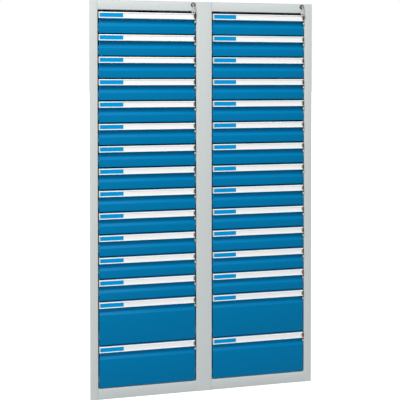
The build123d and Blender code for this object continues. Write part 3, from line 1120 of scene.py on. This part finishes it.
@dataclass
class Slides:
    """The rails on the cabinet, with their glides and buffers."""

    layout: Layout
    repeat: Repeat
    lift: float = 12.0
    rise: float = 32.0
    flange: float = 11.5
    sheet: float = 1.5
    bend: float = 1.8
    depths: Point2 = (22.0, 486.0)

    def build(self) -> None:
        """Makes the rails of both columns and dresses what stays of the CAD."""
        for column in Column:
            rows = []
            for side in (-1, 1):
                outer = column.value + side * self.layout.half_opening
                middle = outer - side * self.sheet / 2
                tip = outer - side * self.flange
                z0 = self.lift + self.sheet / 2
                z1 = self.lift + self.rise - self.sheet / 2
                bm = bmesh.new()
                add_sheet(bm, [(tip, z0), (middle, z0), (middle, z1), (tip, z1)], self.sheet, Axis.ALONG_Y,
                          self.layout.front + self.depths[0], self.layout.front + self.depths[1], self.bend)
                part = as_object("rail", bm, ZINC)
                for first, count, step in self.layout.rows:
                    rows.append(self.repeat.run("rail_row", part, count, (0, 0, first), (0, 0, step), ZINC))
                drop(part)
            name = f"rails_{column.label}_column"
            dress(joined(f"{name}_folded", rows), "cabinet", ZINC, name)
        keep("rail_glides", NYLON)
        keep("rail_buffers", RUBBER)


@dataclass
class Drawer:
    """One height of drawer, made at its own level in the left column and copied from there.

    Widths are from the middle of the column, heights from the bottom of the front.
    """

    layout: Layout
    low: float
    top: float
    half: float = 216.5
    thickness: float = 18.0
    tray_half: float = 207.5
    tray_back: float = 462.0
    tray_lift: float = 6.0
    rim_drop: float = 15.5
    wall: float = 1.0
    hem: float = 3.4
    slot_pitch: float = 20.0
    slot_width: float = 3.4
    slot_rows: tuple[Point2, ...] = ((36.0, 60.0), (112.0, 136.0))
    ledge: float = 28.0
    runner_back: float = 430.0
    recess: Point2 = (10.0, 23.0)
    slope: float = 10.0
    grip: float = 27.0
    grip_face: float = -4.0
    grip_wall: float = 1.4
    groove: float = 8.0
    lip: float = 0.8
    channel: float = 1.6
    border: float = 3.0
    cap: float = 2.0
    tongues: Point2 = (3.5, 8.0)
    stub: Point2 = (213.5, 219.0)
    stub_depths: Point2 = (-4.0, -0.4)
    stub_step: float = 8.0
    tag: Point2 = (103.0, 19.6)
    card: float = 0.6
    tag_card: float = 0.4
    pan_fold: float = 5.0
    pan_edge: float = 1.7
    runner_front: float = 19.0
    runner_sheet: float = 1.5
    runner_drop: float = 15.0
    runner_reach: float = 10.7
    lug_reach: float = 12.0
    lug_depths: Point2 = (36.0, 42.0)
    lug_heights: Point2 = (58.0, 66.0)
    block_reach: float = 11.8
    block_length: float = 30.0
    block_heights: Point2 = (14.0, 42.0)

    def _box(self, bm: BMesh, xs: Point2, ds: Point2, zs: Point2, bevel: float = 0.0,
             segments: int = 2) -> None:
        """Adds a block given in the drawer's own widths, depths and heights.

        Args:
            bm: the mesh.
            xs: its widths.
            ds: its depths.
            zs: its heights.
            bevel: the edges' radius, or 0 for sharp ones.
            segments: the faces across an edge.
        """
        x = Column.LEFT.value
        front = self.layout.front
        low, high = ((x + xs[i], front + ds[i], self.low + zs[i]) for i in (0, 1))
        add_box(bm, low, high, bevel, segments)

    def _front(self) -> Object:
        """The folded front pan, which steps back behind and below the grip.

        Returns:
            The front.
        """
        depth, flat = self.recess
        recess_low = self.height - self.grip - flat
        bends = [(0, 0), (0, recess_low - self.slope), (depth, recess_low), (depth, self.height)]
        outline = [point for point, _ in rounded_path(bends, self.pan_fold, 5)]
        outline += [(self.thickness, self.height), (self.thickness, 0)]
        section = [(self.layout.front + d, self.low + z) for d, z in outline]
        middle = Column.LEFT.value
        bm = bmesh.new()
        add_section(bm, section, Axis.ALONG_X, middle - self.half, middle + self.half, self.pan_edge)
        return as_object("front", bm, BLUE_COAT)

    @property
    def height(self) -> float:
        """The height of the front."""
        return self.top - self.low

    def _tray(self) -> Object:
        """The tray: slotted side walls with rolled rims, a bottom and a back.

        Returns:
            The tray.
        """
        bm = bmesh.new()
        rim = self.height - self.rim_drop
        inner = self.tray_half - self.wall
        floor_top = self.tray_lift + self.wall
        self._box(bm, (-inner, inner), (self.thickness, self.tray_back), (self.tray_lift, floor_top))
        self._box(bm, (-inner, inner), (self.tray_back - self.wall, self.tray_back), (self.tray_lift, rim))
        rows = [row for row in self.slot_rows if row[1] < rim - 8]
        zs = [self.tray_lift, *(z for row in rows for z in row), rim]
        edges = [self.thickness]
        place = self.thickness + self.slot_pitch
        while place < self.tray_back - self.slot_pitch / 2:
            edges += [place - self.slot_width / 2, place + self.slot_width / 2]
            place += self.slot_pitch
        edges.append(self.tray_back)
        holes = {(i, j) for i in range(1, len(edges) - 1, 2) for j in range(1, len(zs) - 1, 2)}
        ys = [self.layout.front + d for d in edges]
        heights = [self.low + z for z in zs]
        middle = Column.LEFT.value
        for side in (-1, 1):
            xs = (middle + side * inner, middle + side * self.tray_half)
            add_pierced(bm, xs, ys, heights, holes)
            x0 = middle + side * (self.tray_half - self.wall / 2)
            x1 = x0 + side * self.hem
            z = self.low + rim - self.wall / 2
            rolled = [(x0, z - 4), (x0, z), (x1, z), (x1, z - 3.5)]
            add_sheet(bm, rolled, self.wall, Axis.ALONG_Y, ys[0], ys[-1], 1.2)
        return as_object("tray", bm, TRAY_COAT)

    def _runners(self) -> Object:
        """The angles on the sides that slide in the rails, and the lug for the lock hook.

        Returns:
            Both in one object.
        """
        bm = bmesh.new()
        front = self.layout.front
        z = self.low + self.ledge
        for side in (-1, 1):
            x = Column.LEFT.value + side * (self.tray_half + self.runner_sheet / 2)
            line = [(x, z - self.runner_drop), (x, z), (x + side * self.runner_reach, z)]
            add_sheet(bm, line, self.runner_sheet, Axis.ALONG_Y, front + self.runner_front,
                      front + self.runner_back)
        lug = (self.tray_half, self.tray_half + self.lug_reach)
        self._box(bm, lug, self.lug_depths, self.lug_heights, 0.8)
        return as_object("runners", bm, ZINC)

    def _grip(self) -> Object:
        """The drawn grip profile with the label channel in its face.

        Returns:
            The grip.
        """
        face, wall, low = self.grip_face, self.grip_wall, -self.grip
        lip = face + self.lip
        floor = lip + self.channel
        web = floor + wall
        edge = self.border
        back = self.recess[0]
        flange = back - wall
        under = -self.groove - wall
        outline = [(back, low), (back, -self.groove - 0.4), (back - 0.4, -self.groove), (web, -self.groove),
                   (web, -0.5), (web - 0.5, 0), (face + 1.4, 0), (face + 0.4, -0.4), (face, -1.4),
                   (face, -edge - 1), (lip, -edge - 1), (lip, -edge), (floor, -edge), (floor, low + edge),
                   (lip, low + edge), (lip, low + edge + 1), (face, low + edge + 1), (face, low + 1.4),
                   (face + 0.4, low + 0.4), (face + 1.4, low), (web - 0.6, low), (web, low + 0.6),
                   (web, under - 0.6), (web + 0.6, under), (flange - 0.6, under), (flange, under - 0.6),
                   (flange, low + 0.6), (flange + 0.6, low)]
        bm = bmesh.new()
        end = self.half - self.cap
        section = [(self.layout.front + d, self.top + z) for d, z in outline]
        add_section(bm, section, Axis.ALONG_X, Column.LEFT.value - end, Column.LEFT.value + end)
        return as_object("grip", bm, ALUMINIUM)

    @property
    def _label_ends(self) -> Point2:
        """The left and the right end of the labels."""
        inner = self.half - self.cap
        return (self.tongues[0] - inner, inner - self.tongues[1])

    @property
    def _channel_back(self) -> float:
        """The depth of the label channel's back."""
        return self.grip_face + self.lip + self.channel

    def _card(self) -> Object:
        """The white card in the channel.

        Returns:
            The card.
        """
        bm = bmesh.new()
        ends = (self._label_ends[0] + 0.1, self._label_ends[1] - 0.1)
        window = (self.height - self.grip + self.border + 0.2, self.height - self.border - 0.2)
        self._box(bm, ends, (self._channel_back - self.card, self._channel_back), window, 0.1, 1)
        return as_object("label_card", bm, WHITE_CARD)

    def _tag(self) -> Object:
        """The coloured tag at the card's left end.

        Returns:
            The tag.
        """
        bm = bmesh.new()
        middle = self.height - self.grip / 2
        half = self.tag[1] / 2
        back = self._channel_back - self.card
        left = self._label_ends[0]
        self._box(bm, (left, left + self.tag[0]), (back - self.tag_card, back),
                  (middle - half, middle + half), 0.1, 1)
        return as_object("tag_card", bm, BLUE_CARD)

    def _plate(self, bm: BMesh, side: int) -> None:
        """Adds the plate of a cap on the grip's end."""
        xs = span(side, self.half, self.half - self.cap)
        self._box(bm, xs, (self.grip_face, self.recess[0]), (self.height - self.grip, self.height), 0.7)

    def _tongue(self, bm: BMesh, side: int, near: float, far: float) -> None:
        """Adds a part of a cap's tongue, which fills the channel's end."""
        self._box(bm, span(side, near, far), (self.grip_face + self.lip, self._channel_back),
                  (self.height - self.grip + self.border, self.height - self.border), 0.4, 1)

    def _stub(self, bm: BMesh, high: float, low: float) -> None:
        """Adds a part of the stub below the right cap, between two depths below the front's top."""
        self._box(bm, self.stub, self.stub_depths, (self.height - low, self.height - high), 0.8)

    def _light_mouldings(self) -> Object:
        """The left cap, the light ends of the right one, and the rear glide blocks.

        Returns:
            All in one object.
        """
        bm = bmesh.new()
        inner = self.half - self.cap
        self._plate(bm, -1)
        left, right = self._label_ends
        self._tongue(bm, -1, -left, inner)
        self._tongue(bm, 1, right, right + self.tongues[1] / 2)
        self._stub(bm, self.grip + self.stub_step, self.grip + 2 * self.stub_step)
        for side in (-1, 1):
            xs = span(side, self.tray_half, self.tray_half + self.block_reach)
            ds = (self.runner_back, self.runner_back + self.block_length)
            self._box(bm, xs, ds, self.block_heights, 1.5)
        return as_object("light_mouldings", bm, NYLON)

    def _dark_cap(self) -> Object:
        """The right end cap and its stub below the grip, whose dark upper part is painted shade.

        Returns:
            Both in one object.
        """
        bm = bmesh.new()
        self._plate(bm, 1)
        self._tongue(bm, 1, self._label_ends[1] + self.tongues[1] / 2, self.half - self.cap)
        # The stub's upper part, right under the grip's end, is the cap's dark plastic used as painted shade:
        # it stands for the grip's shadow over the side gap.
        self._stub(bm, self.grip, self.grip + self.stub_step)
        return as_object("dark_cap", bm, CAP_PLASTIC)

    def build(self, numbers: Sequence[int], step: float) -> None:
        """Makes the drawers of this height in both columns.

        Args:
            numbers: the drawers' numbers, counted down from the top.
            step: the height from one to the next below it.
        """
        parts = [(self._front(), BLUE_COAT), (self._tray(), TRAY_COAT), (self._runners(), ZINC),
                 (self._grip(), ALUMINIUM), (self._card(), WHITE_CARD), (self._tag(), BLUE_CARD),
                 (self._light_mouldings(), NYLON), (self._dark_cap(), CAP_PLASTIC)]
        for column in Column:
            for row, number in enumerate(numbers):
                body = f"drawer_{column.label}_{number:02d}"
                shift = (column.value - Column.LEFT.value, 0.0, -row * step)
                for part, finish in parts:
                    piece = moved_copy(part, f"{body}_{part.name}", shift)
                    nodes = [body] if part.name == "front" else []
                    dress(piece, body, finish, *nodes)
        for part, _ in parts:
            drop(part)


@dataclass
class Locks:
    """The cam locks with their folding keys, and the bars that they drop."""

    layout: Layout
    repeat: Repeat
    bar: Point2 = (225.5, 241.5)
    bar_low: float = 75.0
    hook_tip: float = 213.5
    pin_offset: float = 4.95
    fork: Point2 = (2.3, 5.3)
    fork_near: float = 2.65
    keyway: float = 1.3
    blade: float = 1.0
    eye_radius: float = 1.4
    key_cuts: tuple[Point2, ...] = ((2.0, 1.2), (5.5, 1.8), (9.0, 0.9))
    fold: float = -12.0
    ears: Point2 = (1.3, 3.3)
    neck: float = 1.4
    head_z: float = 1749.0
    head_radius: float = 9.0
    head_hole: float = 3.0
    hole_drop: float = 3.5

    def build(self) -> None:
        """Makes both locks, keys and bars."""
        housings = bmesh.new()
        for column in Column:
            x = column.value + self.layout.lock_x
            self._housing(housings, x)
            self._plug(column, x)
            self._blade(column, x)
            self._bow(column, x)
            self._bar(column)
        turned = as_object("lock_housings_turned", housings, LOCK_BLACK)
        dress(turned, "cabinet", LOCK_BLACK, "lock_housings")
        keep("lock_nuts", ZINC)
        keep("lock_bar_guides", NYLON)

    def _centre(self, x: float) -> Point3:
        """The lock's middle in the front plane."""
        return (x, self.layout.front, self.layout.lock_z)

    def _housing(self, bm: BMesh, x: float) -> None:
        """Adds a housing with its domed flange and its thread, drawn as rings.

        Args:
            bm: the mesh.
            x: the lock's middle across.
        """
        profile = [(5.6, -2.1), (6.0, -2.5), (10.0, -2.5), (10.8, -2.0), (11.0, -1.2), (11.0, 0.0),
                   (7.9, 0.0)]
        thread = []
        for turn in range(14):
            thread += [(7.9, 1.0 + turn * 1.5), (7.5, 1.75 + turn * 1.5)]
        ring = [*profile, *thread, (7.5, 22.0), (5.6, 22.0)]
        add_lathe(bm, ring, self._centre(x), Axis.ALONG_Y, 48, closed=True)

    def _plug(self, column: Column, x: float) -> None:
        """The turning plug with its keyway, and the cam behind it.

        Args:
            column: the lock's column.
            x: the lock's middle across.
        """
        bm = bmesh.new()
        profile = [(0, -3.3), (4.4, -3.5), (5.2, -3.3), (5.5, -2.7), (5.5, 25.0), (0, 25.0)]
        add_lathe(bm, profile, self._centre(x), Axis.ALONG_Y, 40)
        plug = as_object("plug", bm, NICKEL)
        slot = bmesh.new()
        front = self.layout.front
        z = self.layout.lock_z
        wide = self.keyway
        add_box(slot, (x - wide, front - 6, z - 3.7), (x + wide, front + 17, z + 3.7), 0.3, 1)
        cut(plug, as_object("keyway", slot, NICKEL))
        dress(joined(f"lock_plug_{column.label}_turned", [plug]), f"lock_{column.label}", NICKEL,
              f"lock_plug_{column.label}")
        cam = bmesh.new()
        disc = [(0, 25.0), (10.0, 25.0), (10.5, 25.4), (10.5, 27.6), (10.0, 28.0), (3.6, 28.0), (3.5, 29.1),
                (3.0, 29.5), (0, 29.5)]
        add_lathe(cam, disc, self._centre(x), Axis.ALONG_Y, 40)
        pin = [(0, 27.9), (2.0, 27.9), (2.0, 34.6), (1.6, 35.0), (0, 35.0)]
        add_lathe(cam, pin, (x + self.pin_offset, front, z + self.pin_offset), Axis.ALONG_Y, 20)
        dress(as_object(f"lock_cam_{column.label}_turned", cam, ZINC), f"lock_{column.label}", ZINC,
              f"lock_cam_{column.label}")

    def _blade(self, column: Column, x: float) -> None:
        """The key's blade with its eye and its cuts.

        Args:
            column: the lock's column.
            x: the lock's middle across.
        """
        front = self.layout.front
        z = self.layout.lock_z
        bm = bmesh.new()
        half = self.blade
        add_box(bm, (x - half, front - 16, z - 3.5), (x + half, front + 14, z + 3.5), 0.4)
        blade = as_object("blade", bm, NICKEL)
        cuts = bmesh.new()
        add_rod(cuts, self.eye_radius, (-2, 2), (x, front + self.fold, z), Axis.ALONG_X, 20)
        for place, depth in self.key_cuts:
            add_box(cuts, (x - 2, front + place, z - 4), (x + 2, front + place + 1.6, z - 3.5 + depth))
        cut(blade, as_object("cuts", cuts, NICKEL))
        dress(joined(f"key_blade_{column.label}_cut", [blade]), f"lock_{column.label}", NICKEL,
              f"key_blade_{column.label}")

    def _bow(self, column: Column, x: float) -> None:
        """The folding bow: two ears on a pin, a neck and a round head with a hole.

        Args:
            column: the lock's column.
            x: the lock's middle across.
        """
        front = self.layout.front
        d = front + self.fold
        z = self.layout.lock_z
        bm = bmesh.new()
        for side in (-1, 1):
            x0, x1 = (x + place for place in span(side, *self.ears))
            add_box(bm, (x0, d - 2.5, z - 8), (x1, d + 2.5, z + 2.5), 0.6)
        far = self.ears[1]
        root = self.head_z + 5.0
        add_box(bm, (x - far, d - self.neck, root), (x + far, d + self.neck, z - 6.5), 0.6)
        neck = [(x - 6.5, root), (x + 6.5, root), (x + 3.2, z - 9.0), (x - 3.2, z - 9.0)]
        add_section(bm, neck, Axis.ALONG_Y, d - 1.3, d + 1.3)
        head = bmesh.new()
        r = self.head_radius
        add_lathe(head, [(0, -1.5), (r - 0.7, -1.5), (r, -0.9), (r, 0.9), (r - 0.7, 1.5), (0, 1.5)],
                  (x, d, self.head_z), Axis.ALONG_Y, 40)
        disc = as_object("bow_head", head, NICKEL)
        hole = bmesh.new()
        add_rod(hole, self.head_hole, (-3, 3), (x, d, self.head_z - self.hole_drop), Axis.ALONG_Y, 24)
        cut(disc, as_object("hole", hole, NICKEL))
        pin = [(0, -3.5), (0.8, -3.5), (1.1, -3.2), (1.1, 3.2), (0.8, 3.5), (0, 3.5)]
        add_lathe(bm, pin, (x, d, z), Axis.ALONG_X, 16)
        ears = as_object("ears", bm, NICKEL)
        dress(joined(f"key_bow_{column.label}_round", [ears, disc]), f"key_{column.label}", NICKEL,
              f"key_bow_{column.label}")

    def _bar(self, column: Column) -> None:
        """The flat bar with its fork and a hook for each drawer.

        Args:
            column: the lock's column.
        """
        lay = self.layout
        middle = column.value
        d0, d1 = (lay.front + d for d in lay.bar_depths)
        x0 = middle + self.bar[0]
        pin_z = lay.lock_z + self.pin_offset
        near, far = self.fork
        bm = bmesh.new()
        add_box(bm, (x0, d0, self.bar_low), (middle + self.bar[1], d1, pin_z + far), 0.5)
        for z0, z1 in ((pin_z + near, pin_z + far), (pin_z - far, pin_z - near)):
            add_box(bm, (middle + lay.lock_x + self.fork_near, d0, z0), (x0 + 1, d1, z1), 0.4)
        bar = as_object("bar", bm, ZINC)
        hook = bmesh.new()
        z0, z1 = lay.hook
        tip = middle + self.hook_tip
        outline = [(x0 + 1, z0), (x0 + 1, z1), (tip + 2, z1), (tip, z1 - 2), (tip, z0)]
        add_section(hook, outline, Axis.ALONG_Y, d0, d1)
        part = as_object("hook", hook, ZINC)
        rows = [self.repeat.run("hooks", part, count, (0, 0, first), (0, 0, step), ZINC)
                for first, count, step in lay.rows]
        drop(part)
        node = f"lock_bar_{column.label}"
        dress(joined(f"{node}_hooked", [bar, *rows]), f"bar_{column.label}", ZINC, node)


@dataclass
class Feet:
    """The levelling feet under the floor sheet, with the studs' threads drawn as rings."""

    layout: Layout
    xs: tuple[float, ...] = (-455.0, 0.0, 455.0)
    depths: Point2 = (88.0, 412.0)

    def build(self) -> None:
        """Makes the pads and the studs, and dresses the plates."""
        pads = bmesh.new()
        studs = bmesh.new()
        pad = [(0, 0), (20.5, 0), (21.6, 0.5), (22, 1.6), (22, 7.5), (21, 9.2), (12, 12), (0, 12)]
        stud = [(0, 11.5), (8, 11.5), (8, 16), (5, 16.6)]
        for turn in range(20):
            stud += [(5.0, 17.0 + turn * 1.5), (4.5, 17.75 + turn * 1.5)]
        for x in self.xs:
            for depth in self.depths:
                centre = (x, self.layout.front + depth, 0.0)
                add_lathe(pads, pad, centre, Axis.ALONG_Z, 40)
                add_lathe(studs, [*stud, (4.5, 47.6), (0, 47.6)], centre, Axis.ALONG_Z, 24)
        dress(as_object("foot_pads_turned", pads, FOOT_RUBBER), "cabinet", FOOT_RUBBER, "levelling_feet")
        dress(as_object("foot_studs_turned", studs, ZINC), "cabinet", ZINC)
        keep("foot_plates", ZINC)


# The studio

@dataclass
class Studio:
    """The white floor, the sky, the lamp, the camera and the view settings."""

    lens: float = 40.5
    sensor: float = 36.0
    far_limit: float = 200.0
    place: Point3 = (-0.2838, -2.2884, 1.4534)
    yaw: float = 7.377
    pitch: float = 0.559
    shift: Point2 = (0.0, -0.297)
    key_place: Point3 = (-1.8, -2.8, 4.9)
    key_aim: Point3 = (0.0, -0.24, 1.0)
    key_power: float = 163.0
    key_size: float = 1.6
    fill_strength: float = 0.65
    floor_size: float = 40.0
    floor_colour: float = 0.8
    floor_bounce: float = 0.4
    floor_lift: float = 0.9

    def build(self) -> None:
        """Makes everything round the object."""
        self._floor()
        self._world()
        self._key()
        self._camera()
        settings = bpy.context.scene.view_settings
        settings.view_transform = "Standard"

    def _seen(self, graph: Graph) -> Signal:
        """1 for the rays that look at the background, from the camera or by way of metal and glass.

        Args:
            graph: the graph that the nodes go into.

        Returns:
            The signal.
        """
        camera, glossy, through = (graph.node("ShaderNodeLightPath", out=name)
                                   for name in ("Is Camera Ray", "Is Glossy Ray", "Is Transmission Ray"))
        return (camera + glossy + through).clamped()

    def _floor(self) -> None:
        """A white floor, lifted to white for the camera where no shadow lies."""
        bm = bmesh.new()
        bmesh.ops.create_grid(bm, x_segments=1, y_segments=1, size=self.floor_size)
        mesh = bpy.data.meshes.new("floor")
        bm.to_mesh(mesh)
        bm.free()
        made = bpy.data.materials.new("white_floor")
        graph = Graph(made)
        seen = self._seen(graph)
        colour = (self.floor_colour,) * 3
        cloud = graph.noise(0.8, 2.0)
        base = graph.blend(cloud, shade(colour, 0.995), colour)
        plain = graph.node("ShaderNodeBsdfDiffuse", None, {"Color": base})
        dim = graph.node("ShaderNodeBsdfDiffuse", None, {"Color": (*(self.floor_bounce,) * 3, 1.0)})
        white = (1.0, 1.0, 1.0, 1.0)
        glow = graph.node("ShaderNodeEmission", None, {"Color": white, "Strength": self.floor_lift})
        lifted = graph.node("ShaderNodeAddShader", None, {0: plain, 1: glow})
        graph.finish(graph.node("ShaderNodeMixShader", None, {0: seen, 1: dim, 2: lifted}))
        mesh.materials.append(made)
        linked("floor", mesh)

    def _world(self) -> None:
        """A soft white sky that is plain white where it is seen."""
        world = bpy.data.worlds.new("studio")
        bpy.context.scene.world = world
        graph = Graph(world)
        seen = self._seen(graph)
        white = (1.0, 1.0, 1.0, 1.0)
        light = graph.node("ShaderNodeBackground", None, {"Color": white, "Strength": self.fill_strength})
        plain = graph.node("ShaderNodeBackground", None, {"Color": white, "Strength": 1.0})
        mixed = graph.node("ShaderNodeMixShader", None, {0: seen, 1: light, 2: plain})
        graph.node("ShaderNodeOutputWorld", None, {"Surface": mixed})

    def _key(self) -> None:
        """The large soft lamp high in front on the left."""
        data = bpy.data.lights.new("key_lamp", "AREA")
        data.shape = "DISK"
        data.size = self.key_size
        data.energy = self.key_power
        lamp = linked("key_lamp", data)
        lamp.location = self.key_place
        aim = Vector(self.key_aim) - Vector(self.key_place)
        lamp.rotation_euler = aim.to_track_quat("-Z", "Y").to_euler()

    def _camera(self) -> None:
        """The camera at the place and turn found from the photo."""
        cy, sy = math.cos(math.radians(self.yaw)), math.sin(math.radians(self.yaw))
        cp, sp = math.cos(math.radians(self.pitch)), math.sin(math.radians(self.pitch))
        turn_y = Matrix(((cy, 0, -sy), (0, 1, 0), (sy, 0, cy)))
        turn_x = Matrix(((1, 0, 0), (0, cp, -sp), (0, sp, cp)))
        rows = turn_x @ turn_y
        right, down, ahead = (Vector((row[0], row[2], -row[1])) for row in rows)
        turn = Matrix((right, -down, -ahead)).transposed()
        data = bpy.data.cameras.new("camera")
        data.lens = self.lens
        data.sensor_width = self.sensor
        data.shift_x, data.shift_y = self.shift
        data.clip_end = self.far_limit
        camera = linked("camera", data)
        camera.matrix_world = Matrix.Translation(Vector(self.place)) @ turn.to_4x4()
        bpy.context.scene.camera = camera


def main() -> None:
    """Builds the sub-assemblies in order, then the studio."""
    logging.basicConfig(level=logging.INFO, format="%(message)s", stream=sys.stdout)
    layout = Layout()
    repeat = Repeat()
    Shell(layout, repeat).build()
    Slides(layout, repeat).build()
    levels = layout.levels
    low_count = layout.low_drawers
    Drawer(layout, *levels[0]).build(range(1, low_count + 1), layout.unit)
    for number, level in enumerate(levels[low_count:], low_count + 1):
        Drawer(layout, *level).build([number], 0.0)
    Locks(layout, repeat).build()
    Feet(layout).build()
    Studio().build()


if __name__ == "__main__":
    main()
